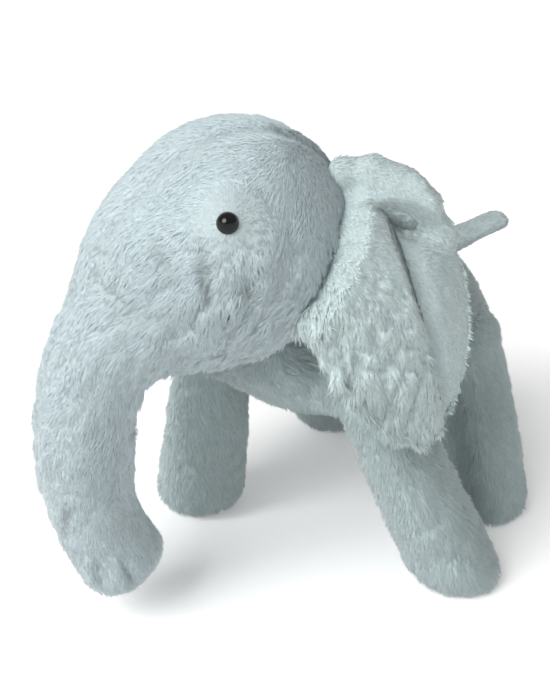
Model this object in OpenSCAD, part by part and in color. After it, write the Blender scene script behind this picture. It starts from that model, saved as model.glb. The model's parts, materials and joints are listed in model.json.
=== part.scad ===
// Stuffed elephant, standing: plush covers over stuffing, soft-sewn joints, safety eyes.
// The toy faces -Y, its left side is +X, and the floor is at Z = 0. Millimetres.

/* [Torso] */
// Length of the torso, chest to rump
torso_l = 284; // [260:1:310]
// Width of the torso
torso_w = 176; // [164:1:190]
// Height of the torso
torso_h = 148; // [136:1:160]
// Height of the torso's middle above the floor
torso_z = 168; // [160:1:178]
// How far the back slopes down from the shoulders to the rump
torso_pitch = 8; // [0:1:12]

/* [Head] */
// Radius of the head at its crown and nape
head_r = 85; // [78:1:90]
// Half the width of the head between the ears
head_half_w = 82; // [74:1:88]
// How much further the face reaches out towards the trunk
face_bulge = 34; // [20:1:38]
// Height of the head's centre above the floor
head_z = 284; // [277:1:292]
// Distance from the torso's front end forward to the head's centre
head_ahead = 16; // [8:1:24]
// Angle by which the head looks to the toy's right
head_turn = 32; // [20:1:36]

/* [Trunk] */
// Length of the trunk's centre line
trunk_l = 208; // [186:1:214]
// Radius of the trunk where it leaves the face
trunk_root_r = 44; // [40:1:47]
// Radius of the trunk near its tip
trunk_tip_r = 33; // [29:1:36]
// Slope of the trunk below the horizontal where it leaves the face
trunk_start = 46; // [42:1:54]
// Slope of the trunk at its tip, past 90 where it curls back
trunk_end = 120; // [110:1:128]

/* [Legs] */
// Radius of a foot
foot_r = 37; // [33:1:40]
// Radius of a leg at the hip, seen from the side
hip_r = 37; // [33:1:40]
// Half the thickness of a leg at the hip, seen from the front
hip_half_w = 24; // [20:1:28]
// Height of the front hips
front_hip_z = 150; // [144:1:158]
// Height of the hind hips
hind_hip_z = 136; // [130:1:142]
// Distance between the left and right hips
hip_span = 150; // [144:1:160]
// Distance from the front hips back to the hind hips
hip_base = 148; // [136:1:160]
// How far outside the middle the left front foot stands
front_left_out = 136; // [124:1:142]
// How far outside the middle the right front foot stands
front_right_out = 99; // [95:1:112]
// How far outside the middle the left hind foot stands
hind_left_out = 108; // [98:1:114]
// How far outside the middle the right hind foot stands
hind_right_out = 84; // [80:1:100]
// How far the left front foot stands behind its hip
front_left_back = 33; // [20:1:40]
// How far the right front foot stands behind its hip
front_right_back = 6; // [0:1:20]
// How far the left hind foot stands in front of its hip
hind_left_step = 14; // [0:1:20]
// How far the right hind foot stands behind its hip
hind_right_back = 48; // [0:1:52]

/* [Ears] */
// Thickness of an ear, both layers together
ear_t = 11; // [8:1:14]

/* [Tail] */
// Length of the tail outside the rump
tail_l = 72; // [60:1:84]
// Width of the tail
tail_w = 30; // [24:1:36]
// Thickness of the tail
tail_t = 17; // [13:1:22]
// Slope of the tail above the horizontal
tail_slope = 10; // [0:1:24]
// How far the tail leans to the toy's left
tail_lean = 22; // [0:1:26]

/* [Eyes] */
// Radius of an eye's dome
eye_r = 7; // [5:0.5:8]
// Radius of the post behind an eye
post_r = 2.2; // [1.8:0.1:3]

/* [Cloth and clearances] */
// Thickness of a plush cover with its pile pressed down
cover_t = 2.6; // [2:0.1:4]
// Clearance between a cover and the stuffing in it
fill_gap = 0.25; // [0.2:0.05:0.5]
// Clearance between parts that move on each other
move_gap = 1.2; // [0.8:0.1:2]

/* [Hidden] */

// The toy is drawn about its own middle, then set with the middle of its bounding box over the origin
placing = [-3.8, -63.3, 0];
module placed() translate(placing) children();

plush = [0.74, 0.79, 0.8];
plush_shade = [0.62, 0.68, 0.69];
fibrefill = [0.95, 0.94, 0.9];
stuff_off = cover_t + fill_gap;
exact_fn = 48;
far = 400;

// Places along the toy: the torso's middle is at y = torso_y
torso_y = 104;
head_c = [0, torso_y - torso_l / 2 - head_ahead, head_z];
hips_forward = 14;
front_hip_y = torso_y - hip_base / 2 - hips_forward;
hind_hip_y = front_hip_y + hip_base;

function mix(a, b, t) = a + (b - a) * t;
function steps(from, to, n) = [for (i = [0:n]) mix(from, to, i / n)];
function mean(points) = [for (k = [0:2]) sum([for (p = points) p[k]]) / len(points)];
function sum(list, i = 0) = i >= len(list) ? 0 : list[i] + sum(list, i + 1);
// A swing of a Bezier curve through four control values or points
function bezier(c, t) = c[0] * pow(1 - t, 3) + 3 * c[1] * t * pow(1 - t, 2)
    + 3 * c[2] * t * t * (1 - t) + c[3] * pow(t, 3);

// A closed solid through rows of equally long rings, each end closed by a fan
module loft(rings) {
    rows = len(rings);
    n = len(rings[0]);
    points = concat([for (r = rings, p = r) p], [mean(rings[0]), mean(rings[rows - 1])]);
    sides = [for (i = [0:rows - 2], j = [0:n - 1]) each [
        [i * n + j, i * n + (j + 1) % n, (i + 1) * n + (j + 1) % n],
        [i * n + j, (i + 1) * n + (j + 1) % n, (i + 1) * n + j]]];
    ends = [for (j = [0:n - 1]) each [
        [rows * n, (j + 1) % n, j],
        [rows * n + 1, (rows - 1) * n + j, (rows - 1) * n + (j + 1) % n]]];
    polyhedron(points, concat(sides, ends), convexity = 4);
}

// A thick patch between two grids of points of the same size. A wrapped patch closes on itself
// across its columns.
module patch(outer, inner, wrap = false) {
    rows = len(outer);
    n = len(outer[0]);
    last = wrap ? n - 1 : n - 2;
    lift = rows * n;
    function at(i, j) = i * n + j % n;
    quads = concat(
        [for (i = [0:rows - 2], j = [0:last]) each [
            [at(i, j), at(i + 1, j), at(i + 1, j + 1), at(i, j + 1)],
            [lift + at(i, j), lift + at(i, j + 1), lift + at(i + 1, j + 1), lift + at(i + 1, j)]]],
        [for (j = [0:last]) each [
            [at(0, j), at(0, j + 1), lift + at(0, j + 1), lift + at(0, j)],
            [at(rows - 1, j), lift + at(rows - 1, j), lift + at(rows - 1, j + 1), at(rows - 1, j + 1)]]],
        wrap ? [] : [for (i = [0:rows - 2]) each [
            [at(i, 0), lift + at(i, 0), lift + at(i + 1, 0), at(i + 1, 0)],
            [at(i, n - 1), at(i + 1, n - 1), lift + at(i + 1, n - 1), lift + at(i, n - 1)]]]);
    faces = [for (q = quads) each [[q[2], q[1], q[0]], [q[3], q[2], q[0]]]];
    polyhedron(concat([for (r = outer, p = r) p], [for (r = inner, p = r) p]), faces, convexity = 6);
}

// ---- torso ----
torso_rows = [for (i = [0:12]) mix(1.2, 178.8, i / 12)];
// Point on the torso: s runs 0 to 180 from chest to rump, t goes round from the toy's left
function torso_at(s, t, off) =
    let (k = pow(sin(s), 0.82), rump = mix(0.94, 1.04, (1 - cos(s)) / 2))
    pitched([(torso_w / 2 - off) * k * rump * cos(t),
             -(torso_l / 2 - off) * cos(s),
             (torso_h / 2 - off) * k * sin(t)]);
// A point of the level torso, about its middle, set in place with the back's slope
function pitched(p) = [p.x, torso_y + p.y * cos(torso_pitch) + p.z * sin(torso_pitch),
    torso_z + p.z * cos(torso_pitch) - p.y * sin(torso_pitch)];
belly_half = 38;
side_cols = steps(belly_half - 90, 90, 7);
belly_cols = steps(270 - belly_half, 270 + belly_half, 7);
function opposite(cols) = [for (i = [len(cols) - 1:-1:0]) 180 - cols[i]];
function without_first(list) = [for (i = [1:len(list) - 1]) list[i]];
function without_ends(list) = [for (i = [1:len(list) - 2]) list[i]];
torso_cols = concat(side_cols, without_first(opposite(side_cols)), without_ends(belly_cols));
module torso_patch(cols) {
    patch([for (s = torso_rows) [for (t = cols) torso_at(s, t, 0)]],
          [for (s = torso_rows) [for (t = cols) torso_at(s, t, cover_t)]]);
}
module torso_cuts() {
    translate(head_c) sphere(r = max(head_r, head_half_w) + move_gap, $fn = 96);
    for (side = [-1, 1]) {
        leg_pocket(side, front_hip(side));
        leg_pocket(side, hind_hip(side));
    }
    tail_pocket();
}
module torso_cover(cols) color(plush) difference() {
    torso_patch(cols);
    torso_cuts();
}
module torso_panel_left() torso_cover(side_cols);
module torso_panel_right() torso_cover(opposite(side_cols));
module belly_panel() torso_cover(belly_cols);
module torso_stuffing() color(fibrefill) difference() {
    loft([for (s = torso_rows) [for (t = torso_cols) torso_at(s, t, stuff_off)]]);
    torso_cuts();
}

// ---- head ----
// Everything below is drawn facing -Y about the head's centre and set in place by in_head()
module in_head() translate(head_c) rotate([0, 0, -head_turn]) children();
face_angle = -28;
// Point on the head: b runs -90 to 90 from the toy's right to its left, f goes round the profile
// from the front over the crown
function head_at(b, f, off) =
    let (reach = pow(max(0, cos(f - face_angle)), 3) * pow(cos(b), 3) * face_bulge,
         r = (head_r - off) * cos(b) + reach)
    [(head_half_w - off) * sin(b), -r * cos(f), r * sin(f)];
gusset_b = 15;
chin_from = 210;
chin_to = 345;
head_round = [for (j = [0:23]) j * 15];
side_bs = steps(gusset_b, 88.6, 7);
middle_bs = steps(-gusset_b, gusset_b, 3);
other_side_bs = [for (i = [len(side_bs) - 1:-1:0]) -side_bs[i]];
head_bs = concat(other_side_bs, without_ends(middle_bs), side_bs);
module head_patch(bs, fs, wrap) {
    patch([for (b = bs) [for (f = fs) head_at(b, f, 0)]],
          [for (b = bs) [for (f = fs) head_at(b, f, cover_t)]], wrap);
}
// Round socket for the trunk's ball end, opening out so that the trunk can nod
trunk_swing = 12;
module trunk_socket() {
    translate(trunk_at(0)) rotate([90 + trunk_start, 0, 0]) {
        sphere(r = trunk_root_r + move_gap, $fn = 72);
        cylinder(r1 = trunk_root_r + move_gap, r2 = trunk_root_r + move_gap + 60 * tan(trunk_swing + 3),
                 h = 60, $fn = 72);
    }
}
// The eyes sit square on the cover
eye_b = 57;
eye_f = 48;
eye_pos = head_at(eye_b, eye_f, 0);
eye_normal = let (c = cross(head_at(eye_b + 1, eye_f, 0) - head_at(eye_b - 1, eye_f, 0),
                            head_at(eye_b, eye_f + 1, 0) - head_at(eye_b, eye_f - 1, 0))) c / norm(c);
module at_eye(side) translate([side * eye_pos.x, eye_pos.y, eye_pos.z])
    rotate([0, acos(eye_normal.z), atan2(eye_normal.y, side * eye_normal.x)]) children();
post_gap = 0.1;
module eye_hole(side) at_eye(side) translate([0, 0, -cover_t - 4])
    cylinder(r = post_r + post_gap, h = cover_t + 8, $fn = exact_fn);
module head_side(side) in_head() difference() {
    head_patch(side > 0 ? side_bs : other_side_bs, head_round, true);
    trunk_socket();
    eye_hole(side);
}
module head_panel_left() color(plush) head_side(1);
module head_panel_right() color(plush) head_side(-1);
module head_gusset() color(plush) in_head() difference() {
    head_patch(middle_bs, steps(chin_to - 360, chin_from, 15), false);
    trunk_socket();
}
module chin_panel() color(plush) in_head() difference() {
    head_patch(middle_bs, steps(chin_from, chin_to, 9), false);
    trunk_socket();
}
washer_r = 8;
washer_t = 1.6;
post_l = 12;
washer_seat = -cover_t - 1.5;
washer_gap = 0.05;
// Room that the stuffing leaves round an eye's washer and post
eye_room = 1;
module head_stuffing() color(fibrefill) in_head() difference() {
    loft([for (b = head_bs) [for (f = head_round) head_at(b, f, stuff_off)]]);
    trunk_socket();
    for (side = [-1, 1]) at_eye(side) {
        translate([0, 0, washer_seat - washer_t - eye_room])
            cylinder(r = washer_r + eye_room, h = far, $fn = exact_fn);
        translate([0, 0, -post_l - eye_room])
            cylinder(r = post_r + eye_room, h = far, $fn = exact_fn);
    }
}
module eye(side) color("black") in_head() at_eye(side) {
    translate([0, 0, 0.2]) intersection() {
        eye_dome();
        translate([-eye_r, -eye_r, 0]) cube([2 * eye_r, 2 * eye_r, 2 * eye_r]);
    }
    translate([0, 0, -post_l]) cylinder(r = post_r, h = post_l + 0.7, $fn = exact_fn);
}
module eye_dome() translate([0, 0, -eye_r * 0.25]) sphere(r = eye_r * 1.03, $fn = exact_fn);
module eye_left() eye(1);
module eye_right() eye(-1);
module eye_washer(side) color("white") in_head() at_eye(side)
    translate([0, 0, washer_seat - washer_t]) difference() {
        cylinder(r = washer_r, h = washer_t, $fn = exact_fn);
        translate([0, 0, -1]) cylinder(r = post_r + washer_gap, h = washer_t + 2, $fn = exact_fn);
    }
module eye_washer_left() eye_washer(1);
module eye_washer_right() eye_washer(-1);

// ---- trunk ----
// The centre line is an arc in the head's middle plane. Its start lies this deep in the head's
// round, at this angle below the level of the head's centre.
trunk_sink = 5.35;
trunk_low = 28.5;
trunk_root = (head_r - trunk_sink) * [0, -cos(trunk_low), -sin(trunk_low)];
trunk_bend = trunk_end - trunk_start;
trunk_arc = trunk_l / (trunk_bend * PI / 180);
function trunk_slope(u) = trunk_start + trunk_bend * u;
function trunk_at(u) = trunk_root + trunk_arc
    * [0, sin(trunk_start) - sin(trunk_slope(u)), cos(trunk_slope(u)) - cos(trunk_start)];
// Radius along the trunk: a gentle taper, then a slightly fuller rounded tip
function trunk_r(u) = mix(trunk_root_r, trunk_tip_r, min(1, u * 1.6))
    * (1 + 0.05 * pow(max(0, u * 2 - 1), 2));
trunk_joint_u = 0.56;
function trunk_ring(u, r, shift = 0, from = 0, to = 360, n = 20, close = 0) =
    let (a = trunk_slope(u), c = trunk_at(u) + shift * [0, -cos(a), -sin(a)])
    [for (j = [0:n - 1 + close]) let (t = from + (to - from) * j / n)
        c + r * [sin(t), -sin(a) * cos(t), cos(a) * cos(t)]];
// Rows of a ball end at u, from its pole to its equator, bulging back along the trunk
function ball_back(r) = [for (q = [3, 22, 42, 60, 76]) [-r * cos(q), r * sin(q)]];
// Rows of a rounded tip past the end of the line
function tip_front(r) = [for (q = [76, 60, 42, 22, 3]) [r * 0.8 * cos(q), r * sin(q)]];
ball_share = 0.84;
function root_rows(off) = concat(
    [for (row = ball_back(trunk_root_r - off)) [0, row[1], row[0]]],
    [for (u = steps(0, trunk_joint_u, 5)) [u, trunk_r(u) - off, 0]]);
function tip_rows(off) =
    let (ball = trunk_r(trunk_joint_u) * ball_share)
    concat(
        [for (row = ball_back(ball - off)) [trunk_joint_u, row[1], row[0]]],
        [[trunk_joint_u, ball - off, 0], [trunk_joint_u + 0.055, ball - off, 0]],
        [for (u = steps(trunk_joint_u + 0.11, 1, 5)) [u, trunk_r(u) - off, 0]],
        [for (row = tip_front(trunk_r(1) - off)) [1, row[1], row[0]]]);
module trunk_half(rows_out, rows_in) {
    patch([for (r = rows_out) trunk_ring(r[0], r[1], r[2], 0, 180, 9, 1)],
          [for (r = rows_in) trunk_ring(r[0], r[1], r[2], 0, 180, 9, 1)]);
}
module trunk_side(rows_out, rows_in, side) {
    if (side > 0) trunk_half(rows_out, rows_in);
    else mirror([1, 0, 0]) trunk_half(rows_out, rows_in);
}
module tip_socket() translate(trunk_at(trunk_joint_u))
    sphere(r = trunk_r(trunk_joint_u) * ball_share + move_gap, $fn = 64);
module trunk_panel(side) color(plush) in_head() difference() {
    trunk_side(root_rows(0), root_rows(cover_t), side);
    tip_socket();
}
module trunk_panel_left() trunk_panel(1);
module trunk_panel_right() trunk_panel(-1);
module trunk_stuffing() color(fibrefill) in_head() difference() {
    loft([for (r = root_rows(stuff_off)) trunk_ring(r[0], r[1], r[2], 0, 360, 18)]);
    tip_socket();
}
module trunk_tip_panel_left() color(plush) in_head() trunk_side(tip_rows(0), tip_rows(cover_t), 1);
module trunk_tip_panel_right() color(plush) in_head() trunk_side(tip_rows(0), tip_rows(cover_t), -1);
module trunk_tip_stuffing() color(fibrefill) in_head()
    loft([for (r = tip_rows(stuff_off)) trunk_ring(r[0], r[1], r[2], 0, 360, 18)]);

// ---- legs ----
// How far a leg swings away from its neighbour, and towards it
swing_out = 12;
swing_in = 8;
sole_t = 3;
// A leg's hip: its place along Y, its height, how far the foot stands in front of it, and how far
// outside the toy's middle the foot stands
function front_hip(side) = side > 0
    ? [front_hip_y, front_hip_z, -front_left_back, front_left_out]
    : [front_hip_y, front_hip_z, -front_right_back, front_right_out];
function hind_hip(side) = side > 0
    ? [hind_hip_y, hind_hip_z, hind_left_step, hind_left_out]
    : [hind_hip_y, hind_hip_z, -hind_right_back, hind_right_out];
// Point on a leg at a height z, with t going round it from the toy's left
function leg_point(side, hip, z, t, off) =
    let (h = min(1, z / hip[1]),
         x = mix(hip[3], hip_span / 2, h),
         y = hip[0] - hip[2] * (1 - h),
         ankle = 1 - 0.30 * pow(max(0, 1 - z / (foot_r * 0.55)), 2.2),
         dome = z > hip[1] ? sqrt(max(0, 1 - pow((z - hip[1]) / (hip_r - off), 2))) : 1,
         a = (mix(foot_r, hip_half_w, pow(h, 2)) - off) * ankle * dome,
         b = (mix(foot_r, hip_r, h) - off) * ankle * dome)
    [side * x + a * cos(t), y + b * sin(t), z];
function leg_rows(hip, off) = concat([sole_t, 9, 17, 28, 46], steps(66, hip[1], 4),
    [for (q = [24, 46, 66, 86]) hip[1] + (hip_r - off) * sin(q)]);
module leg_patch(side, hip, from, to) {
    cols = steps(from, to, 8);
    patch([for (z = leg_rows(hip, 0)) [for (t = cols) leg_point(side, hip, z, -t, 0)]],
          [for (z = leg_rows(hip, cover_t)) [for (t = cols) leg_point(side, hip, z, -t, cover_t)]]);
}
module leg_piece(side, hip, piece) {
    if (piece == "outer_panel") color(plush_shade)
        leg_patch(side, hip, side > 0 ? -90 : 90, side > 0 ? 90 : 270);
    if (piece == "inner_panel") color(plush_shade)
        leg_patch(side, hip, side > 0 ? 90 : -90, side > 0 ? 270 : 90);
    if (piece == "sole") color(plush_shade)
        loft([for (z = [0, sole_t]) [for (j = [0:15]) leg_point(side, hip, z, -j * 22.5, 0)]]);
    if (piece == "stuffing") color(fibrefill)
        loft([for (z = concat([sole_t + fill_gap], [for (i = [1:12]) leg_rows(hip, stuff_off)[i]]))
            [for (j = [0:15]) leg_point(side, hip, z, -j * 22.5, stuff_off)]]);
}
// Room in the torso for a leg's top as the leg swings about its hip
module leg_pocket(side, hip) {
    r = hip_r + move_gap;
    inside = min([for (h = [0.5:0.1:1]) mix(hip[3], hip_span / 2, h) - mix(foot_r, hip_half_w, h * h)])
        - move_gap;
    front = hip[0] < torso_y;
    forward = (front ? swing_out : swing_in) + 2 + max(0, atan2(hip[2], hip[1]));
    back = (front ? swing_in : swing_out) + 2 + max(0, atan2(-hip[2], hip[1]));
    slot = r - 0.4;
    translate([side > 0 ? inside : -inside - far, hip[0], hip[1]]) rotate([90, 0, 90])
        linear_extrude(far) {
            circle(r = r, $fn = 72);
            polygon([[-slot * cos(forward), slot * sin(forward)],
                     [-slot * cos(forward) - far * sin(forward), -far * cos(forward)],
                     [slot * cos(back) + far * sin(back), -far * cos(back)],
                     [slot * cos(back), slot * sin(back)]]);
        }
}
module front_leg(side, piece) leg_piece(side, front_hip(side), piece);
module hind_leg(side, piece) leg_piece(side, hind_hip(side), piece);

// ---- ears ----
// Each ear is a bent sheet from a seam on the head to its free edge, drawn about the head's
// centre. Rows of control points run from the seam outwards, each from the ear's top down.
// The seam runs down the head's side; its points are shares of the head's half width and radius
seam_shares = [[0.262, 0.87, 0.55], [0.78, 0.87, 0.46], [1.10, 0.53, -0.162], [0.915, 0.255, -0.52]];
// How far each further row of the ear lies from the seam
ear_left_rows = [
    [[14, 16, -2], [19, 25, -18], [19, 19, -30], [11, 10, -40]],
    [[27, 41, -20], [31, 59, -38], [27, 55, -78], [25, 38, -76]],
    [[29, 57, -46], [15, 77, -76], [5, 89, -108], [9, 82, -98]]];
// The head looks to the right, so the right ear is pushed out by the shoulder and hangs outside it
ear_right_rows = [
    [[-21, 12, 0], [-32, 4, -10], [-37, -14, -16], [-23, -34, -36]],
    [[-57, 22, -18], [-82, 0, -44], [-79, -24, -76], [-63, -64, -90]],
    [[-76, 22, -44], [-100, 0, -84], [-91, -10, -116], [-91, -46, -118]]];
function seam_row(side) = [for (s = seam_shares) [side * s.x * head_half_w, s.y * head_r, s.z * head_r]];
function ear_net(side, rows) = concat([seam_row(side)],
    [for (row = rows) [for (k = [0:3]) seam_row(side)[k] + row[k]]]);
ear_left_net = ear_net(1, ear_left_rows);
ear_right_net = ear_net(-1, ear_right_rows);
function net_at(net, u, v) = bezier([for (row = net) bezier(row, v)], u);
function net_normal(net, u, v) =
    let (du = net_at(net, min(1, u + 0.01), v) - net_at(net, max(0, u - 0.01), v),
         dv = net_at(net, u, min(1, v + 0.01)) - net_at(net, u, max(0, v - 0.01)),
         c = cross(du, dv))
    c / norm(c);
ear_us = steps(0, 1, 8);
ear_vs = steps(0, 1, 9);
function ear_layer(net, shift) = [for (u = ear_us) [for (v = ear_vs)
    net_at(net, u, v) + shift * net_normal(net, u, v)]];
module ear_sheet(net, low, high) in_head() patch(ear_layer(net, low), ear_layer(net, high));
module ear_left_front() color(plush) ear_sheet(ear_left_net, 0, -ear_t / 2);
module ear_left_back() color(plush_shade) ear_sheet(ear_left_net, ear_t / 2, 0);
module ear_right_front() color(plush) ear_sheet(ear_right_net, ear_t / 2, 0);
module ear_right_back() color(plush_shade) ear_sheet(ear_right_net, 0, -ear_t / 2);

// ---- tail ----
tail_root = pitched([0, torso_l / 2 - 14, torso_h / 2 - 38]);
tail_swing = 20;
module in_tail() translate(tail_root) rotate([tail_slope, 0, -tail_lean]) children();
// Room in the rump for the tail's ball end and for its wag
module tail_pocket() in_tail() {
    r = tail_w / 2 + move_gap;
    wag = tail_swing + 2;
    sphere(r = r, $fn = exact_fn);
    translate([0, 0, -r]) linear_extrude(2 * r)
        polygon([[-r * cos(wag), -r * sin(wag)], [r * cos(wag), -r * sin(wag)],
                 [r * cos(wag) + tail_l * sin(wag), tail_l], [-r * cos(wag) - tail_l * sin(wag), tail_l]]);
}
// Rows of the tail: distance along it as a share of its width or, past the root, of its length,
// and its width as a share
tail_rows = concat(
    [for (q = [4, 26, 50, 72]) [-cos(q), 0, sin(q)]],
    [[0, 0, 1], [0, 0.2, 1], [0, 0.6, 1], [0, 1, 1]],
    [for (q = [64, 40, 18, 4]) [0.6 * cos(q), 1, pow(sin(q), 0.7)]]);
function tail_point(row, t, off) =
    let (half_w = tail_w / 2 - off,
         half_t = row[0] < 0 ? half_w : mix(tail_w, tail_t, min(1, row[1] * 2)) / 2 - off)
    [half_w * row[2] * cos(t), half_w * row[0] + row[1] * tail_l, half_t * row[2] * sin(t)];
module tail_half(from, to) color(plush_shade) in_tail()
    patch([for (r = tail_rows) [for (t = steps(from, to, 8)) tail_point(r, t, 0)]],
          [for (r = tail_rows) [for (t = steps(from, to, 8)) tail_point(r, t, cover_t)]]);
module tail_panel_top() tail_half(0, 180);
module tail_panel_bottom() tail_half(180, 360);
module tail_stuffing() color(fibrefill) in_tail()
    loft([for (r = tail_rows) [for (j = [0:15]) tail_point(r, j * 22.5, stuff_off)]]);

placed() torso_panel_left();
placed() torso_panel_right();
placed() belly_panel();
placed() torso_stuffing();
placed() head_panel_left();
placed() head_panel_right();
placed() head_gusset();
placed() chin_panel();
placed() head_stuffing();
placed() eye_left();
placed() eye_right();
placed() eye_washer_left();
placed() eye_washer_right();
placed() trunk_panel_left();
placed() trunk_panel_right();
placed() trunk_stuffing();
placed() trunk_tip_panel_left();
placed() trunk_tip_panel_right();
placed() trunk_tip_stuffing();
placed() ear_left_front();
placed() ear_left_back();
placed() ear_right_front();
placed() ear_right_back();
placed() tail_panel_top();
placed() tail_panel_bottom();
placed() tail_stuffing();
for (side = [-1, 1], piece = ["outer_panel", "inner_panel", "sole", "stuffing"]) {
    name = side > 0 ? "left_" : "right_";
    placed() front_leg(side, piece);
    placed() hind_leg(side, piece);
}
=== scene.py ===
import json
import math

import bmesh
import bpy
import numpy as np
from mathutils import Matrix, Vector
from mathutils.bvhtree import BVHTree
from mathutils.kdtree import KDTree


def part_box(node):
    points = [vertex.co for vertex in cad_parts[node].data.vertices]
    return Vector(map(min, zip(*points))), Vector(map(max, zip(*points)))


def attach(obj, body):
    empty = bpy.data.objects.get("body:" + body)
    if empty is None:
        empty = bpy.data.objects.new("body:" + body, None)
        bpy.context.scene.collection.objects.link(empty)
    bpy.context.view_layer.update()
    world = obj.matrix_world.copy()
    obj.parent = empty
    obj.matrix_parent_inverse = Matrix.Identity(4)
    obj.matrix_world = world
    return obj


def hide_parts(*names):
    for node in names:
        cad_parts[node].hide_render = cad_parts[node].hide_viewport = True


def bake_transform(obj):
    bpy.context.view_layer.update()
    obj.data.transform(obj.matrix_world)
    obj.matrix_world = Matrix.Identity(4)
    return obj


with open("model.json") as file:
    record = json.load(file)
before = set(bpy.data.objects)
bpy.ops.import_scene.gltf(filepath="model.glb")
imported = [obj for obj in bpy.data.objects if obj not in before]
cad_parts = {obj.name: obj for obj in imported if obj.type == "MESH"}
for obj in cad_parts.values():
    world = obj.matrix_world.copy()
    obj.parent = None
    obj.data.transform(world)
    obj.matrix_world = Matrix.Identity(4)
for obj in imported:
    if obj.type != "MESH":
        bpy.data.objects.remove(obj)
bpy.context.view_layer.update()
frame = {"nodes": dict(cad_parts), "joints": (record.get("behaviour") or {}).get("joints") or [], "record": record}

MM = 0.001
NODES = frame["nodes"]
BODIES = frame["record"]["behaviour"]["bodies"]
JOINTS = {j["name"]: j for j in frame["joints"]}


# ---------------------------------------------------------------- small maths
def unit(v):
    v = np.asarray(v, float)
    return v / np.maximum(np.linalg.norm(v, axis=-1, keepdims=True), 1e-12)


def fade(x, low, high):
    """0 below low, 1 above high, smooth between them."""
    t = np.clip((x - low) / (high - low), 0, 1)
    return t * t * (3 - 2 * t)


def joint_at(name):
    """The place of a joint."""
    return np.array(JOINTS[name]["pos_m"], float)


# Large odd numbers that scramble the bits of a cell's place and of a seed
SCRAMBLE_X, SCRAMBLE_Y, SCRAMBLE_Z = 73856093, 19349663, 83492791
SCRAMBLE_SEED, SCRAMBLE_ALL = 2654435761, 1274126177


def lattice(cell, seed):
    """One repeatable number from -1 to 1 for each whole-number cell."""
    x, y, z = cell.T
    h = (x * SCRAMBLE_X) ^ (y * SCRAMBLE_Y) ^ (z * SCRAMBLE_Z) ^ (seed * SCRAMBLE_SEED)
    h = (h ^ (h >> 13)) * SCRAMBLE_ALL & 0xFFFFFFFF
    h = (h ^ (h >> 16)) & 0xFFFFFF
    return h / float(0x7FFFFF) - 1


def waves(p, size, seed):
    """Smooth noise from about -1 to 1 whose lumps are about size metres across."""
    q = p / size
    low = np.floor(q).astype(np.int64)
    f = q - low
    f = f * f * (3 - 2 * f)
    total = np.zeros(len(q))
    for corner in range(8):
        step = np.array([corner & 1, corner >> 1 & 1, corner >> 2 & 1])
        share = np.prod(np.where(step, f, 1 - f), axis=1)
        total += share * lattice(low + step, seed)
    return total


# ---------------------------------------------------------------- meshes
NO_SHRINK = (0.52, -0.54)       # one smoothing round: this share of the way in, then this share back out


def coords(mesh):
    co = np.zeros(len(mesh.vertices) * 3, np.float32)
    mesh.vertices.foreach_get("co", co)
    return co.reshape(-1, 3).astype(float)


def tris(mesh):
    mesh.calc_loop_triangles()
    t = np.zeros(len(mesh.loop_triangles) * 3, np.int32)
    mesh.loop_triangles.foreach_get("vertices", t)
    return t.reshape(-1, 3)


def new_object(name, verts, faces):
    mesh = bpy.data.meshes.new(name)
    mesh.from_pydata([tuple(v) for v in verts], [], [tuple(int(i) for i in f) for f in faces])
    mesh.update()
    ob = bpy.data.objects.new(name, mesh)
    bpy.context.scene.collection.objects.link(ob)
    return ob


def body_points(body):
    return np.vstack([coords(NODES[n].data) for n in BODIES[body]])


def hull(points):
    """Vertices and faces of the tight wrapping round some points."""
    bm = bmesh.new()
    for p in np.unique(np.round(points, 5), axis=0):
        bm.verts.new(p)
    made = bmesh.ops.convex_hull(bm, input=bm.verts)
    spare = {x for x in made["geom_interior"] + made["geom_unused"] if isinstance(x, bmesh.types.BMVert)}
    bmesh.ops.delete(bm, geom=list(spare), context="VERTS")
    bm.verts.index_update()
    v = np.array([x.co for x in bm.verts], float)
    f = [[x.index for x in face.verts] for face in bm.faces]
    bm.free()
    return v, f


def ball(centre, radii, axes):
    """Vertices and faces of a stretched ball; each row of axes is the way that one radius runs."""
    bm = bmesh.new()
    bmesh.ops.create_icosphere(bm, subdivisions=3, radius=1)
    v = np.array([x.co for x in bm.verts], float) * np.array(radii) @ axes + centre
    f = [[x.index for x in face.verts] for face in bm.faces]
    bm.free()
    return v, f


def node_solid(name):
    return coords(NODES[name].data), tris(NODES[name].data)


def fused(name, solids, voxel, rounds):
    """The vertices and four-sided faces of one smooth closed skin round several solids."""
    vs, fs, base = [], [], 0
    for v, f in solids:
        vs.append(v)
        fs += [[i + base for i in face] for face in f]
        base += len(v)
    ob = new_object(name, np.vstack(vs), fs)
    m = ob.modifiers.new("skin", "REMESH")
    m.mode, m.voxel_size = "VOXEL", voxel
    skin = ob.evaluated_get(bpy.context.evaluated_depsgraph_get()).to_mesh()
    v = coords(skin)
    quads = [tuple(p.vertices) for p in skin.polygons]
    ob.to_mesh_clear()
    bpy.data.objects.remove(ob)
    return largest(smoothed(v, quads, rounds), quads)


def four_sided(faces):
    """The faces as rows of four vertices. A triangle has its last one twice."""
    return np.array([q if len(q) == 4 else (*q, q[-1]) for q in faces])


def edges_of(faces):
    f = four_sided(faces)
    e = np.vstack([f[:, [0, 1]], f[:, [1, 2]], f[:, [2, 3]], f[:, [3, 0]]])
    e = e[e[:, 0] != e[:, 1]]
    return np.unique(np.sort(e, axis=1), axis=0)


def near_mean(values, edges):
    """The mean of each vertex's neighbours."""
    total, count = np.zeros_like(values), np.zeros(len(values))
    for a, b in ((0, 1), (1, 0)):
        np.add.at(total, edges[:, a], values[edges[:, b]])
        np.add.at(count, edges[:, a], 1)
    return total / np.maximum(count, 1)[:, None]


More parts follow.
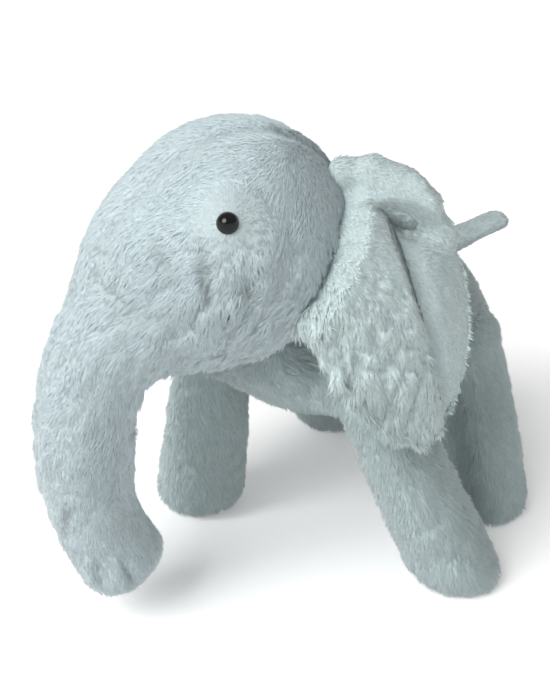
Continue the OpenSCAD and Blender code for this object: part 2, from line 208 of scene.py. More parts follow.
def smoothed(v, faces, rounds):
    """The vertices after some rounds of smoothing that keep the size of the whole."""
    edges = edges_of(faces)
    for _ in range(rounds):
        for share in NO_SHRINK:
            v = v + share * (near_mean(v, edges) - v)
    return v


def largest(v, faces):
    """Leaves out loose inner bubbles: keeps only the biggest connected piece."""
    edges = edges_of(faces)
    label = np.arange(len(v))
    while True:
        low = label.copy()
        np.minimum.at(low, edges[:, 0], label[edges[:, 1]])
        np.minimum.at(low, edges[:, 1], label[edges[:, 0]])
        low = low[low]
        if (low == label).all():
            break
        label = low
    names, counts = np.unique(label, return_counts=True)
    keep = label == names[counts.argmax()]
    index = np.cumsum(keep) - 1
    return v[keep], [tuple(int(index[i]) for i in f) for f in faces if keep[f[0]]]


def normals_of(v, faces):
    """Each vertex's normal, from the faces round it."""
    f = four_sided(faces)
    n = np.cross(v[f[:, 2]] - v[f[:, 0]], v[f[:, 3]] - v[f[:, 1]])
    total = np.zeros_like(v)
    for k in range(4):
        np.add.at(total, f[:, k], n)
    return unit(total)


# ---------------------------------------------------------------- materials
def material(name, roughness, sheen=0.0, coat=0.0):
    """A new material, its nodes, its links and its shader."""
    m = bpy.data.materials.new(name)
    m.use_nodes = True
    shader = m.node_tree.nodes["Principled BSDF"]
    shader.inputs["Roughness"].default_value = roughness
    shader.inputs["Sheen Weight"].default_value = sheen
    shader.inputs["Sheen Roughness"].default_value = 0.5
    shader.inputs["Coat Weight"].default_value = coat
    return m, m.node_tree.nodes, m.node_tree.links, shader


def node(nodes, kind, **values):
    """A new node, with each value put in its input of that name or, where it has none, in its setting."""
    n = nodes.new(kind)
    for key, value in values.items():
        if key in n.inputs:
            n.inputs[key].default_value = value
        else:
            setattr(n, key, value)
    return n


def ramp(nodes, stops):
    """A colour ramp with these stops, each a place and a colour."""
    n = nodes.new("ShaderNodeValToRGB")
    while len(n.color_ramp.elements) < len(stops):
        n.color_ramp.elements.new(0.5)
    for e, (at, colour) in zip(n.color_ramp.elements, stops):
        e.position, e.color = at, (*colour, 1)
    return n


def pile_material():
    """Colour comes from each lock's tone and painted light and shade, with fine streaks across the fibres."""
    m, nodes, links, shader = material("pile", 0.88, sheen=0.25)
    tone = node(nodes, "ShaderNodeAttribute", attribute_name="pile_tone")
    place = nodes.new("ShaderNodeTexCoord")
    streak = node(nodes, "ShaderNodeTexNoise", Scale=420.0, Detail=3.0, Roughness=0.6)
    links.new(place.outputs["Object"], streak.inputs["Vector"])
    shade = ramp(nodes, [(0.3, (0.86, 0.87, 0.87)), (0.7, (1.0, 1.0, 1.0))])
    links.new(streak.outputs["Fac"], shade.inputs["Fac"])
    mix = node(nodes, "ShaderNodeMix", data_type="RGBA", blend_type="MULTIPLY")
    mix.inputs["Factor"].default_value = 1.0
    links.new(tone.outputs["Color"], mix.inputs["A"])
    links.new(shade.outputs["Color"], mix.inputs["B"])
    links.new(mix.outputs["Result"], shader.inputs["Base Color"])
    rough = ramp(nodes, [(0.0, (0.78,) * 3), (1.0, (0.96,) * 3)])
    links.new(streak.outputs["Fac"], rough.inputs["Fac"])
    links.new(rough.outputs["Color"], shader.inputs["Roughness"])
    return m


def backing_material():
    """The knitted cloth that the pile grows from: small loops, mottled."""
    m, nodes, links, shader = material("backing", 0.9, sheen=0.15)
    place = nodes.new("ShaderNodeTexCoord")
    loops = node(nodes, "ShaderNodeTexVoronoi", Scale=900.0)
    mottle = node(nodes, "ShaderNodeTexNoise", Scale=45.0, Detail=5.0)
    links.new(place.outputs["Object"], loops.inputs["Vector"])
    links.new(place.outputs["Object"], mottle.inputs["Vector"])
    colour = ramp(nodes, [(0.25, (0.36, 0.43, 0.44)), (0.75, (0.46, 0.54, 0.55))])
    links.new(mottle.outputs["Fac"], colour.inputs["Fac"])
    links.new(colour.outputs["Color"], shader.inputs["Base Color"])
    height = node(nodes, "ShaderNodeBump", Strength=0.25, Distance=0.0006)
    links.new(loops.outputs["Distance"], height.inputs["Height"])
    links.new(height.outputs["Normal"], shader.inputs["Normal"])
    return m


def eye_material():
    """Glossy black plastic with a faint speck."""
    m, nodes, links, shader = material("eye_black", 0.15, coat=0.2)
    shader.inputs["Specular IOR Level"].default_value = 0.22
    place = nodes.new("ShaderNodeTexCoord")
    speck = node(nodes, "ShaderNodeTexNoise", Scale=260.0, Detail=4.0)
    links.new(place.outputs["Object"], speck.inputs["Vector"])
    colour = ramp(nodes, [(0.4, (0.004, 0.004, 0.005)), (0.8, (0.010, 0.009, 0.009))])
    rough = ramp(nodes, [(0.4, (0.10,) * 3), (0.8, (0.17,) * 3)])
    for r, socket in ((colour, "Base Color"), (rough, "Roughness")):
        links.new(speck.outputs["Fac"], r.inputs["Fac"])
        links.new(r.outputs["Color"], shader.inputs[socket])
    shader.inputs["Coat Roughness"].default_value = 0.03
    return m


PILE = pile_material()
BACKING = backing_material()
EYE = eye_material()


# ---------------------------------------------------------------- pile
SOFT = 0.6                  # how far a lock is shaded like the cloth under it, as fine fibres are
ROOT_DEPTH = 1 * MM         # how far a lock's root is sunk in the cloth
FIRST_SHARE = 0.52          # the share of a lock's length below its bend
BEND = 0.2                  # radians by which each half of a lock leans less or more than the whole
CLUMP_REACH = 4.5 * MM      # how far away a tip still feels the tip that its clump gathers on
CLUMP_SIZE = 16             # locks to a clump
ABOVE_FLOOR = 0.3 * MM      # the lowest that pile may hang
LOCK_UV = [(0.08, 0.12), (0.92, 0.12), (0.5, 0.3), (0.5, 0.94)]     # two root corners, the back, the tip
# Painted shade down each lock: its root, deep in the pile, is painted darker than its tip
LOCK_PAINTED_SHADE = [0.78, 0.78, 0.92, 1.03]                                # the same corners, dark root to light tip


def paint(mesh, colours):
    """Stores one colour for each vertex."""
    a = mesh.color_attributes.new("pile_tone", "FLOAT_COLOR", "POINT")
    a.data.foreach_set("color", np.hstack([colours, np.ones((len(colours), 1))]).astype(np.float32).ravel())


def scatter(v, faces, per_mm2, rng):
    """Points spread over a skin, per_mm2 of them on each square millimetre, and their smooth normals."""
    n = normals_of(v, faces)
    f = four_sided(faces)
    t = np.vstack([f[:, [0, 1, 2]], f[f[:, 2] != f[:, 3]][:, [0, 2, 3]]])
    area = np.linalg.norm(np.cross(v[t[:, 1]] - v[t[:, 0]], v[t[:, 2]] - v[t[:, 0]]), axis=1) / 2
    count = int(area.sum() * 1e6 * per_mm2)
    at = np.searchsorted(np.cumsum(area) / area.sum(), (np.arange(count) + rng.random(count)) / count)
    at = np.minimum(at, len(t) - 1)
    a, b = rng.random(count), rng.random(count)
    over = a + b > 1
    a[over], b[over] = 1 - a[over], 1 - b[over]
    w = np.stack([1 - a - b, a, b], axis=1)[:, :, None]
    return (v[t[at]] * w).sum(axis=1), unit((n[t[at]] * w).sum(axis=1))


def combed(p, n, flow, length, lean, rng, wild):
    """Each lock's root, bend and tip, its way along and its way across. Neighbouring tips draw together."""
    count = len(p)
    along = flow - n * (flow * n).sum(axis=1, keepdims=True)
    along = unit(along + 1e-4 * np.cross(n, [0.3, 0.5, 0.8]))
    side = np.cross(n, along)
    spin = (rng.normal(0, 1, count) * (0.12 + 0.12 * wild))[:, None]
    along, side = along * np.cos(spin) + side * np.sin(spin), side * np.cos(spin) - along * np.sin(spin)
    length = (length * rng.uniform(0.8, 1.15, count))[:, None]
    lean = (lean + rng.normal(0, 0.08, count))[:, None]
    first, second = np.clip(lean - BEND, 0.05, 1.42), np.clip(lean + BEND, 0.05, 1.5)
    root = p - n * ROOT_DEPTH
    bend = root + FIRST_SHARE * length * (n * np.cos(first) + along * np.sin(first))
    tip = bend + (1 - FIRST_SHARE) * length * (n * np.cos(second) + along * np.sin(second))
    tree = KDTree(max(1, count // CLUMP_SIZE))
    heads = rng.permutation(count)[: max(1, count // CLUMP_SIZE)]
    for k, i in enumerate(heads):
        tree.insert(tip[i], k)
    tree.balance()
    nearest = np.array([tree.find(x)[1] for x in tip])
    offset = tip[heads[nearest]] - tip
    near = np.exp(-((np.linalg.norm(offset, axis=1) / CLUMP_REACH) ** 2))[:, None]
    pull = (0.22 + 0.42 * np.minimum(wild, 1))[:, None]
    return root, bend + offset * near * pull * 0.35, tip + offset * near * pull, along, side


def lock_mesh(name, verts, faces):
    """One mesh of many small solids, its loops and its face sizes. verts has one row of corners a solid."""
    count, each = verts.shape[:2]
    base = np.arange(count)[:, None] * each
    loops = np.concatenate([(base + np.array(f)).ravel() for f in faces])
    sizes = np.concatenate([np.full(count, len(f)) for f in faces])
    mesh = bpy.data.meshes.new(name)
    mesh.vertices.add(count * each)
    mesh.vertices.foreach_set("co", verts.astype(np.float32).ravel())
    mesh.loops.add(len(loops))
    mesh.loops.foreach_set("vertex_index", loops.astype(np.int32))
    mesh.polygons.add(len(sizes))
    mesh.polygons.foreach_set("loop_start", (np.cumsum(sizes) - sizes).astype(np.int32))
    return mesh, loops, sizes


def lock_map(mesh, loops, count, each):
    """Gives each lock its own cell of the map, root at the bottom and tip at the top."""
    cells = math.ceil(math.sqrt(count))
    lock, corner = loops // each, loops % each
    uv = np.array(LOCK_UV)[corner]
    under = np.arange(len(loops)) >= len(loops) - count * 3
    uv[under & (corner == 2)] = [0.5, 0.03]
    uv = (uv + np.stack([lock % cells, lock // cells], axis=1)) / cells
    mesh.uv_layers.new(name="OFBake")
    mesh.update(calc_edges=True)
    mesh.uv_layers["OFBake"].data.foreach_set("uv", uv.astype(np.float32).ravel())


def soften(mesh, loops, sizes, cloth, facing):
    """Shades the upper sides of locks like the cloth under them. Their undersides keep their own normals."""
    own = np.zeros(len(mesh.vertices) * 3, np.float32)
    mesh.vertices.foreach_get("normal", own)
    flat = np.zeros(len(sizes) * 3, np.float32)
    mesh.polygons.foreach_get("normal", flat)
    flat = np.repeat(flat.reshape(-1, 3), sizes, axis=0)
    soft = own.reshape(-1, 3)[loops] * (1 - SOFT) + cloth * SOFT
    outer = (flat * facing).sum(axis=1, keepdims=True) > 0
    mesh.normals_split_custom_set(np.where(outer, unit(soft), flat).tolist())


def locks(name, p, n, flow, length, lean, width, colour, rng, wild):
    """Fur: one small closed tapering lock of fibres at each point, leaning along flow."""
    count = len(p)
    root, bend, tip, along, side = combed(p, n, flow, length, lean, rng, wild)
    w = (width * (0.8 + 0.2 * np.minimum(wild, 1)) * rng.uniform(0.75, 1.25, count))[:, None]
    verts = np.stack([root - side * w, root + side * w, root + n * w + (bend - root) * 0.3, tip], axis=1)
    verts[:, :, 2] = np.maximum(verts[:, :, 2], ABOVE_FLOOR)
    each = verts.shape[1]
    mesh, loops, sizes = lock_mesh(name, verts, [(0, 1, 3), (1, 2, 3), (2, 0, 3), (1, 0, 2)])
    lock_map(mesh, loops, count, each)
    tone = colour * rng.normal(1.0, 0.045, (count, 1)) * (1 + rng.normal(0, 0.010, (count, 3)))
    # Each corner's colour is the lock's tone times the painted shade that darkens it towards its root
    paint(mesh, np.clip(tone[:, None, :] * np.array(LOCK_PAINTED_SHADE)[None, :, None], 0, 0.95).reshape(-1, 3))
    mesh.polygons.foreach_set("use_smooth", np.ones(len(mesh.polygons), bool))
    soften(mesh, loops, sizes, (n + 0.25 * along)[loops // each], n[loops // each])
    mesh.materials.append(PILE)
    ob = bpy.data.objects.new(name, mesh)
    bpy.context.scene.collection.objects.link(ob)
    return ob


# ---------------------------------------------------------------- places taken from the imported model
SHARED = 0.3 * MM               # two covers' points closer than this are one place on their seam
SEAM_STEP = 2 * MM
SEAM_SLACK = 2.6 * MM           # a smoothed skin lies up to this far off the seam's own points

lift, curl = joint_at("trunk_lift"), joint_at("trunk_curl")
head_c = joint_at("head_turn")
up = np.array([0.0, 0.0, 1.0])
forward = unit((lift - head_c) * [1, 1, 0])
left = np.cross(up, forward)
EYES = ("eye_left", "eye_right")
eyes = [np.array(sum(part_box(name), Vector())) / 2 for name in EYES]
head_all, trunk_all, tip_all = (body_points(b) for b in ("head", "trunk", "trunk_tip"))


def within(points, centre, reach):
    """The points that lie closer than reach to a centre."""
    return points[np.linalg.norm(points - centre, axis=1) < reach]


def seam_points(*pairs):
    """A tree of points, a step apart, along the edges that two neighbouring covers share."""
    found = []
    for a, b in pairs:
        co, t = coords(NODES[a].data), tris(NODES[a].data)
        tree = KDTree(len(NODES[b].data.vertices))
        for i, x in enumerate(NODES[b].data.vertices):
            tree.insert(x.co, i)
        tree.balance()
        shared = np.array([tree.find(x)[2] < SHARED for x in co])
        for i, j in ((0, 1), (1, 2), (2, 0)):
            e = t[shared[t[:, i]] & shared[t[:, j]]]
            for p, q in zip(co[e[:, i]], co[e[:, j]]):
                k = max(2, int(np.linalg.norm(q - p) / SEAM_STEP))
                found.append(p + (q - p) * np.linspace(0, 1, k)[:, None])
    points = np.unique(np.round(np.vstack(found), 4), axis=0)
    tree = KDTree(len(points))
    for i, x in enumerate(points):
        tree.insert(x, i)
    tree.balance()
    return tree


def seam_near(tree, p, wide):
    """1 on the seam, falling to 0 over wide metres."""
    d = np.array([tree.find(x)[2] for x in p])
    return np.exp(-((np.maximum(d - SEAM_SLACK, 0) / wide) ** 2))


SEAMS = {
    "head": seam_points(("head_gusset", "head_panel_left"), ("head_gusset", "head_panel_right"),
                        ("trunk_panel_left", "trunk_panel_right")),
    "trunk": seam_points(("trunk_tip_panel_left", "trunk_tip_panel_right")),
    "torso": seam_points(("torso_panel_left", "torso_panel_right"), ("torso_panel_left", "belly_panel")),
}


def ear_frame(side):
    """An ear's origin, its axes (along its seam, out to its rim, off its face) and its points in them."""
    hinge = JOINTS[f"ear_{side}_flap"]
    origin, e1 = np.array(hinge["pos_m"]), unit(hinge["axis"])
    points = body_points(f"ear_{side}")
    out = points.mean(axis=0) - origin
    e2 = unit(out - (out @ e1) * e1)
    e3 = np.cross(e1, e2)
    e3 = e3 * np.sign(e3 @ left) * (1 if side == "left" else -1)
    axes = np.stack([e1, e2, e3])
    local = (points - origin) @ axes.T
    return origin, axes, local


EARS = {side: ear_frame(side) for side in ("left", "right")}


def on_ear(side, p):
    """How far points lie along an ear's seam, out from it and off its face, in mm."""
    origin, axes, _ = EARS[side]
    return ((p - origin) @ axes.T / MM).T


# The ear's rolled top as a row of pads, in mm: place along the seam and out from it, then radii along the
# seam, out and off the face
EAR_ROLL = [(106, -6, 13, 13, 10), (110, 12, 15, 15, 13), (106, 33, 16, 15, 15), (99, 52, 14, 14, 13),
            (90, 68, 11, 12, 10), (82, 79, 7, 8, 6)]
ROLL_RISE = 14 * MM             # how far the roll's top stands off the face
ROOT_PAD = (6 * MM, 6 * MM, 7 * MM)
ROOT_STEP = 5 * MM
ROOT_SUNK = 5 * MM              # how far the pads at the ear's seam reach into the head
ROOT_LIMIT = 36 * MM            # an edge farther out than this hangs clear of the head


def ear_roll(side):
    """The rolled top of the ear, standing off the face so that it hangs over the fold below it."""
    origin, axes, local = EARS[side]
    row = np.array(EAR_ROLL, float) * MM
    pads = []
    for k in range(len(row) - 1):
        for t in (0, 0.33, 0.67):
            a, b, ra, rb, rc = row[k] * (1 - t) + row[k + 1] * t
            near = local[np.argsort(np.hypot(local[:, 0] - a, local[:, 1] - b))[:10]]
            c = near[:, 2].max() - rc + ROLL_RISE
            pads.append(ball(origin + np.array([a, b, c]) @ axes, (ra, rb, rc), axes))
    return pads


def ear_root(side, head):
    """Pads that close the ear's seam edge onto the side of the head, whose tree is given."""
    origin, axes, local = EARS[side]
    pads = []
    for a in np.arange(local[:, 0].min() + 8 * MM, local[:, 0].max() - 6 * MM, ROOT_STEP):
        strip = local[np.abs(local[:, 0] - a) < 7 * MM]
        edge = strip[strip[:, 1] < strip[:, 1].min() + 8 * MM].mean(axis=0)
        if edge[1] > ROOT_LIMIT:
            continue
        start = origin + (edge + [0, 4 * MM, 0]) @ axes
        at, facing, _, _ = head.find_nearest(Vector(start))
        end = np.array(at - facing * ROOT_SUNK)
        for t in (0, 0.33, 0.67, 1):
            pads.append(ball(start + (end - start) * t, ROOT_PAD, axes))
    return pads


def hump(x, middle, wide):
    """1 in the middle, falling to 0 over wide on both sides."""
    return np.exp(-(((x - middle) / wide) ** 2))


def ear_crease(a):
    """How far out from the seam the long crease runs, at a mm up the seam."""
    return 29 + 0.55 * (86 - a) + 26 * ((86 - a) / 112) ** 2


def ear_pocket(a, b):
    """How deep a place lies in the pocket under the rolled top, from 0 to 1; and 1 below the lip, 0 on it."""
    lip = 90 - 0.15 * np.clip(b - 40, 0, 40)
    under = fade(lip - a, -3, 4)
    return under * np.exp(-np.maximum(lip - a, 0) / 17) * hump(b, 45, 19), under


def ear_folds(side, p):
    """Moves an ear's points off its face: a full front band, a crease behind it, a hollow under the roll."""
    axes = EARS[side][1]
    a, b, _ = on_ear(side, p)
    crease = ear_crease(a)
    below = fade(92 - a, 0, 14)
    band = 11 * fade(crease - b, -3, 9) * below * fade(b, -8, 10) * (0.6 + 0.4 * fade(a, -30, 20))
    pocket, under = ear_pocket(a, b)
    hollow = -18 * pocket - 3.5 * hump(b, crease + 7, 8) * fade(84 - a, 0, 20)
    roll = 6 * (1 - under) * hump(b, 48, 30)
    ripple = 1.5 * np.sin(a / 6.5 + b * b / 500) * hump(a, 104, 12) * fade(b, 18, 40)
    if side == "left":
        return p + axes[2] * ((band + hollow + roll + ripple) * MM)[:, None]
    # the right ear has half the band, and its top corner is drawn down behind the head
    return p + (axes[2] * (0.5 * band)[:, None] - axes[0] * (16 * fade(a, 84, 112))[:, None]) * MM


# ---------------------------------------------------------------- skins
VOXEL = 4 * MM
# Fillings that carry the cloth over the gap between two bodies
face_fill = hull(np.vstack([within(head_all, lift, 62 * MM), within(trunk_all, lift, 62 * MM)]))
curl_fill = hull(np.vstack([within(trunk_all, curl, 42 * MM), within(tip_all, curl, 48 * MM)]))


def haunch(leg):
    """The torso's cloth drawn out over the top of a leg, so that the leg grows out of a full hip."""
    hip = joint_at(leg + "_swing")
    top = body_points(leg)
    top = top[top[:, 2] > hip[2] - 4 * MM]
    side = top[np.abs(top[:, 0] - hip[0]) < 40 * MM]
    return hull(np.vstack([side, within(body_points("torso"), hip, 72 * MM)]))


LEGS = [name for name in BODIES if name.startswith("leg")]
tail_root = joint_at("tail_wag")
tail_fill = hull(np.vstack([within(body_points("tail"), tail_root, 19 * MM),
                            within(body_points("torso"), tail_root, 48 * MM)]))


def body_solids(body):
    """Every node of a body but the eyes and their washers."""
    return [node_solid(n) for n in BODIES[body] if "eye" not in n]


haunches = [haunch(leg) for leg in LEGS]
SKINS = {
    "torso": fused("torso", [hull(body_points("torso")), tail_fill] + haunches, 5 * MM, rounds=14),
    "head": fused("head", body_solids("head") + body_solids("trunk") + [face_fill, curl_fill], VOXEL,
                  rounds=14),
    "trunk": fused("trunk", body_solids("trunk_tip") + [curl_fill], VOXEL, rounds=14),
    "tail": fused("tail", body_solids("tail"), 2.5 * MM, rounds=8),
}
for name in LEGS:
    SKINS[name] = fused(name, body_solids(name), VOXEL, rounds=10)
head_tree = BVHTree.FromPolygons([Vector(x) for x in SKINS["head"][0]], SKINS["head"][1])
for side in ("left", "right"):
    name = "ear_" + side
    solids = body_solids(name) + ear_root(side, head_tree)
    if side == "left":
        solids += ear_roll(side)
    skin, quads = fused(name, solids, 3 * MM, rounds=4)
    SKINS[name] = ear_folds(side, skin), quads
TREES = {name: BVHTree.FromPolygons([Vector(x) for x in v], faces) for name, (v, faces) in SKINS.items()}


def buried(p, name, deep):
    """Which points lie deeper than this inside the named skin."""
    at, facing, _, _ = zip(*[TREES[name].find_nearest(Vector(x)) for x in p])
    return ((p - np.array(at)) * np.array(facing)).sum(axis=1) < -deep


# ---------------------------------------------------------------- how the pile lies
# The pile's colours: head and trunk; ears, painted lighter as painted light; torso and legs, painted darker
# as painted shade; tail, darker still as painted shade
TINT = np.array([0.615, 0.72, 0.75])
EAR_PAINTED_LIGHT_TINT = np.array([0.66, 0.775, 0.775])
PAINTED_SHADE_TINT = np.array([0.505, 0.605, 0.61])
TAIL_PAINTED_SHADE_TINT = np.array([0.37, 0.455, 0.46])


def swirl(p, n, flow, turn, size, seed):
    """Turns a flow about the surface normal by smooth noise."""
    a = (turn * waves(p, size, seed))[:, None]
    side = np.cross(n, unit(flow))
    return unit(flow) * np.cos(a) + side * np.sin(a)


def clumps(p, flow, size, stretch, seed):
    """Height from 0 in the clefts to 1 on the clumps, drawn out along the flow by stretch."""
    f = unit(flow)
    q = p - f * (p * f).sum(axis=1, keepdims=True) * (1 - 1 / stretch)
    big, small = waves(q, size, seed), waves(q, size * 0.45, seed + 1)
    return fade(np.abs(big + 0.45 * small), 0.0, 0.42)


CLUMP_HEIGHT = 2.2 * MM         # how far the clumps of a fully tousled coat stand out of its clefts
FOLD_DEPTH = 2.2 * MM
SEAM_DEPTH = 1.8 * MM
SKIN_ABOVE_FLOOR = 0.2 * MM


def given(value, *where):
    """One value for each point: a plain number as it is, or what a function makes of the points."""
    return value(*where) if callable(value) else np.full(len(where[0]), value)


def backing(name, flow_of, inset, seed, rough, grain, shadow):
    """The cloth of a skin: let in by inset, lumped under the clumps, and drawn in at folds and seams."""
    v, faces = SKINS[name]
    n = normals_of(v, faces)
    high = clumps(v, flow_of(v, n), *grain, seed + 5)
    v = v + n * (given(rough, v) * CLUMP_HEIGHT * (high - 0.5) - given(inset, v))[:, None]
    if shadow:
        v = v - n * (FOLD_DEPTH * shadow(v))[:, None]
    if name in SEAMS:
        v = v - n * (SEAM_DEPTH * seam_near(SEAMS[name], v, 4 * MM))[:, None]
    v[:, 2] = np.maximum(v[:, 2], SKIN_ABOVE_FLOOR)
    ob = new_object(name + "_backing", v, faces)
    for poly in ob.data.polygons:
        poly.use_smooth = True
    ob.data.materials.append(BACKING)
    return ob, v, faces


def cover(name, bodies, nodes, *, inset, density, flow_of, length, lean, width, hide, seed, rough,
          tint=TINT, span=None, grain=(14 * MM, 1.6), turn=0.5, shadow=None):
    """A cloth with its pile, both riding on one body or, where span is given, both left fixed where they are.

    density is in locks to the square millimetre, and hide says how many mm deep inside which other skins no
    lock is put. rough says how tousled the pile is, grain how wide and how drawn out its clumps are, turn how
    far it swirls, and shadow where it lies in a fold: there the cloth is drawn in and the pile is painted
    darker as painted shade."""
    ob, v, faces = backing(name, flow_of, inset, seed, rough, grain, shadow)
    rng = np.random.default_rng(seed)
    p, n = scatter(v, faces, density * (1.0), rng)
    for other, deep in hide.items():
        seen = ~buried(p, other, deep * MM)
        p, n = p[seen], n[seen]
    flow = flow_of(p, n)
    high = clumps(p, flow, *grain, seed + 5)
    wild = given(rough, p)
    groove = seam_near(SEAMS[name], p, 3 * MM) if name in SEAMS else np.zeros(len(p))
    size = given(length, p, n) * (1 - 0.35 * groove)
    size = size * (1 - 0.30 * (1 - high) * np.minimum(wild, 1))
    tilt = lean - 0.12 * wild * (high - 0.5)
    # Painted shade: darker in the clefts between clumps and along the seams; the waves add a tone that differs at
    # random
    shade = 1 - 0.13 * wild * (1 - high) - 0.10 * groove + 0.035 * waves(p, 45 * MM, seed + 9)
    # Painted shade: darker still in the folds and pockets that shadow marks
    if shadow:
        shade = shade * (1 - 0.36 * shadow(p))
    flow = swirl(p, n, flow, turn * (0.35 + 0.65 * wild), 24 * MM, seed + 2)
    flow = swirl(p, n, flow, turn * 0.6 * wild, 9 * MM, seed + 3)
    wide = width * 1.0
    pile = locks(name + "_pile", p, n, flow, size, tilt, wide, tint * shade[:, None], rng, wild)
    for piece in (ob, pile):
        if span is None:
            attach(piece, bodies)
        else:
            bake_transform(piece)
    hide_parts(*nodes)


def steady(*direction):
    """Pile that lies the same way all over."""
    return lambda p, n: np.tile(np.array(direction, float), (len(p), 1))


def head_flow(p, n):
    """Forward and down, but out from each eye close to it."""
    flow = np.tile(forward * 0.55 - up * 0.85, (len(p), 1))
    for eye in eyes:
        away = p - eye
        near = hump(np.linalg.norm(away, axis=1), 0, 30 * MM)[:, None]
        flow = flow * (1 - near) + unit(away) * near
    return flow


def from_eye(p):
    return np.minimum(*[np.linalg.norm(p - eye, axis=1) for eye in eyes])


def cheek(p):
    """How tousled the head is: smooth on the forehead and trunk, rough under the eyes and on the cheeks."""
    low = fade(eyes[0][2] + 12 * MM - p[:, 2], -10 * MM, 60 * MM)
    return 0.12 + 1.15 * low * (1 - 0.65 * fade((p - lift) @ forward, -20 * MM, 30 * MM))


def head_length(p, n):
    """Shorter round the eyes, longer where it is tousled."""
    return (4.4 + 4.8 * fade(from_eye(p), 8 * MM, 30 * MM) * (0.5 + 0.5 * cheek(p))) * MM


def head_inset(p):
    """The cloth rises to meet the eyes, so that each dome sits in it."""
    on_trunk = fade((p - lift) @ forward, -10 * MM, 30 * MM)
    return (4.5 - 2 * on_trunk - 4.6 * hump(from_eye(p), 0, 15 * MM)) * MM


# Folds in the face, painted darker as painted shade, each from one place to another, in mm ahead of the eye
# and above it
FACE_FOLDS = [(15, -14, 12, -48), (84, -36, 52, -58), (40, -12, 30, -34), (-6, -30, -16, -56)]
# Folds in the lower trunk, painted darker as painted shade, in mm ahead of its bend and above it
TRUNK_FOLDS = [(16, -14, 24, -66), (-14, -72, -22, -96), (2, -70, 0, -98)]
FOLD_WIDTH = 3.2                # mm


def folds(p, origin, runs, centre):
    """1 in the bottom of a fold, 0 away from the folds. They fade out at the middle plane through centre."""
    spot = np.stack([(p - origin) @ forward, p[:, 2] - origin[2]], axis=1) / MM
    deep = np.zeros(len(p))
    for x0, z0, x1, z1 in runs:
        start, run = np.array([x0, z0]), np.array([x1 - x0, z1 - z0])
        t = np.clip((spot - start) @ run / (run @ run), 0, 1)
        gap = np.linalg.norm(spot - start - t[:, None] * run, axis=1)
        deep = np.maximum(deep, hump(gap, 0, FOLD_WIDTH) * (0.35 + 0.65 * np.sin(np.pi * t)))
    return deep * fade(np.abs((p - centre) @ left), 8 * MM, 20 * MM)


def face_folds(p):
    return folds(p, eyes[0], FACE_FOLDS, head_c)


def trunk_folds(p):
    return folds(p, curl, TRUNK_FOLDS, curl)


def ear_flow(side):
    """Outward on the face, and downward along the front band."""
    axes = EARS[side][1]

    def flow(p, n):
        a, b, _ = on_ear(side, p)
        low = (fade(60 - a, 0, 80) * (0.25 + 0.75 * fade(ear_crease(a) - b, -8, 10)))[:, None]
        return axes[1] * (0.9 - 0.4 * low) - axes[0] * (0.2 + 0.9 * low)
    return flow


def ear_rough(side):
    """Tousled on the front band, smooth behind its crease and at the top."""
    def rough(p):
        a, b, _ = on_ear(side, p)
        return 0.15 + 0.85 * fade(ear_crease(a) - b, -8, 10) * fade(64 - a, 0, 60)
    return rough


def ear_length(side):
    """Longer where it is tousled, and longest at the lower end of the front edge and along the bottom."""
    wild = ear_rough(side)

    def length(p, n):
        a, b, _ = on_ear(side, p)
        rim = fade(12 - b, 0, 10) * fade(20 - a, 0, 20) + fade(-18 - a, 0, 14) * fade(100 - b, 0, 25)
        return (5 + 4.5 * wild(p) + 5 * np.minimum(rim, 1)) * MM
    return length


def ear_shadow(side):
    """Painted shade in the pocket under the roll, and along the crease behind the front band."""
    def shadow(p):
        a, b, _ = on_ear(side, p)
        crease = hump(b, ear_crease(a) + 4, 5) * fade(84 - a, 0, 20)
        return np.minimum(1, 1.1 * ear_pocket(a, b)[0] + 0.4 * crease)
    return shadow


# ---------------------------------------------------------------- covers
under_head_cover = [x for x in BODIES["head"] if x not in EYES] + BODIES["trunk"]
cover("torso", "torso", BODIES["torso"], inset=5 * MM, density=0.42, flow_of=steady(0, 0.9, -0.3),
      length=9 * MM, lean=1.2, width=0.72 * MM, tint=PAINTED_SHADE_TINT, seed=11, rough=0.5,
      hide={name: 12 for name in ["head"] + LEGS})
cover("head", ("head", "trunk"), under_head_cover, inset=head_inset, density=0.66, flow_of=head_flow,
      length=head_length, lean=1.22, width=0.66 * MM, seed=23, rough=cheek, turn=0.75,
      span=(lift, lift + 50 * MM * unit(forward - 0.47 * up)), hide={"trunk": 4}, shadow=face_folds)
cover("trunk", ("trunk", "trunk_tip"), BODIES["trunk_tip"], inset=2.5 * MM, density=0.6,
      flow_of=steady(0, 0, -1), length=7.5 * MM, lean=1.25, width=0.68 * MM, seed=31, rough=0.45,
      turn=0.6, span=(curl - 0.15 * (curl - lift), curl + 0.25 * (curl - lift)), hide={"head": 4},
      shadow=trunk_folds)
for k, name in enumerate(LEGS):
    cover(name, name, BODIES[name], inset=2 * MM, density=0.48, flow_of=steady(0, 0.25, -1), length=8.5 * MM,
          lean=1.15, width=0.72 * MM, tint=PAINTED_SHADE_TINT, seed=43 + 10 * k, rough=0.45,
          grain=(17 * MM, 0.9), hide={"torso": 12})
cover("tail", "tail", BODIES["tail"], inset=1 * MM, density=0.6, flow_of=steady(0, 1, -0.2), length=5 * MM,
      lean=1.3, width=0.6 * MM, tint=TAIL_PAINTED_SHADE_TINT, seed=91, rough=0.1, hide={"torso": 12})
for k, side in enumerate(("left", "right")):
    name = "ear_" + side
    cover(name, name, BODIES[name], inset=3 * MM, density=0.6, flow_of=ear_flow(side),
          length=ear_length(side), lean=1.25, width=0.64 * MM, tint=EAR_PAINTED_LIGHT_TINT, seed=103 + 10 * k,
          rough=ear_rough(side), grain=(12 * MM, 2.2), hide={"head": 12},
          shadow=ear_shadow(side) if side == "left" else None)

for name in EYES:
    NODES[name].data.materials.clear()
    NODES[name].data.materials.append(EYE)

# ---------------------------------------------------------------- stage
AIM = Vector((-0.0083, -0.0633, 0.176))         # the place that the camera and the small lamp look at
AZIMUTH, ELEVATION, DISTANCE = math.radians(35), math.radians(25), 0.95


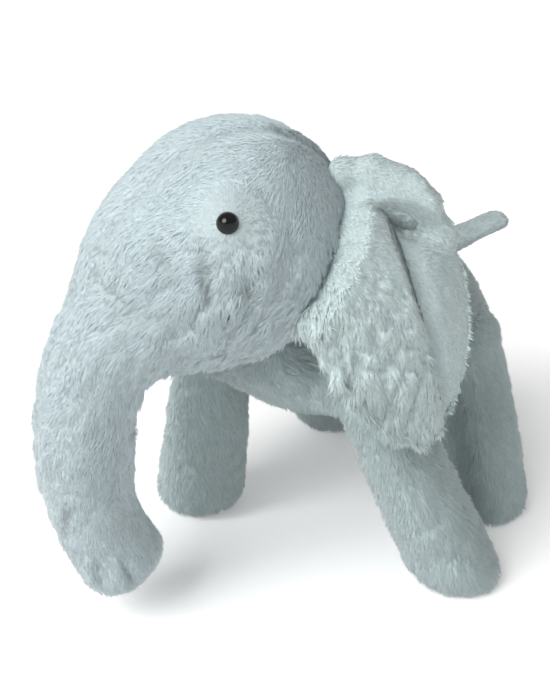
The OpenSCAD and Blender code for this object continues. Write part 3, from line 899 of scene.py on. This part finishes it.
def white_floor():
    """A wide floor that glows a little, so that it meets the white horizon without a line."""
    half = 40
    corners = [(-half, -half, 0), (half, -half, 0), (half, half, 0), (-half, half, 0)]
    floor = new_object("floor", corners, [(0, 1, 2, 3)])
    m, _, _, shader = material("floor_white", 0.95)
    shader.inputs["Base Color"].default_value = (0.93, 0.93, 0.93, 1)
    shader.inputs["Specular IOR Level"].default_value = 0.0
    shader.inputs["Emission Color"].default_value = (1, 1, 1, 1)
    shader.inputs["Emission Strength"].default_value = 0.22
    floor.data.materials.append(m)


def studio_sky():
    """White at the horizon and grey overhead."""
    world = bpy.data.worlds.new("studio")
    world.use_nodes = True
    nodes, links = world.node_tree.nodes, world.node_tree.links
    nodes["Background"].inputs["Strength"].default_value = 1.0
    place = nodes.new("ShaderNodeTexCoord")
    height = nodes.new("ShaderNodeSeparateXYZ")
    tone = ramp(nodes, [(0.0, (1.0, 1.0, 1.0)), (0.12, (1.0, 1.0, 1.0)), (0.30, (0.36, 0.36, 0.36))])
    links.new(place.outputs["Generated"], height.inputs["Vector"])
    links.new(height.outputs["Z"], tone.inputs["Fac"])
    links.new(tone.outputs["Color"], nodes["Background"].inputs["Color"])
    bpy.context.scene.world = world


def placed(name, data, way):
    """A light or a camera in the scene, facing along way."""
    ob = bpy.data.objects.new(name, data)
    bpy.context.scene.collection.objects.link(ob)
    ob.rotation_euler = way.to_track_quat("-Z", "Y").to_euler()
    return ob


def key_light():
    """A broad sun from high up in front, so that its shadows are faint."""
    data = bpy.data.lights.new("key", "SUN")
    data.energy, data.angle = 2.9, math.radians(40)
    placed("key", data, Vector((0.14, 0.9, -0.78)))


def glint_light():
    """A small lamp that puts the bright spot on the eye."""
    data = bpy.data.lights.new("glint", "AREA")
    data.shape, data.size, data.energy = "DISK", 0.12, 1.5
    offset = Vector((0.2, -1.6, 1.3))
    placed("glint", data, -offset).location = AIM + offset


def main_camera():
    """The camera, DISTANCE away from AIM."""
    data = bpy.data.cameras.new("camera")
    data.lens = 65.6
    data.clip_start, data.clip_end = 0.05, 40
    back = Vector((math.sin(AZIMUTH) * math.cos(ELEVATION), -math.cos(AZIMUTH) * math.cos(ELEVATION),
                   math.sin(ELEVATION)))
    ob = placed("camera", data, -back)
    ob.location = AIM + back * DISTANCE
    bpy.context.scene.camera = ob


white_floor()
studio_sky()
key_light()
glint_light()
main_camera()
bpy.context.scene.view_settings.view_transform = "Standard"
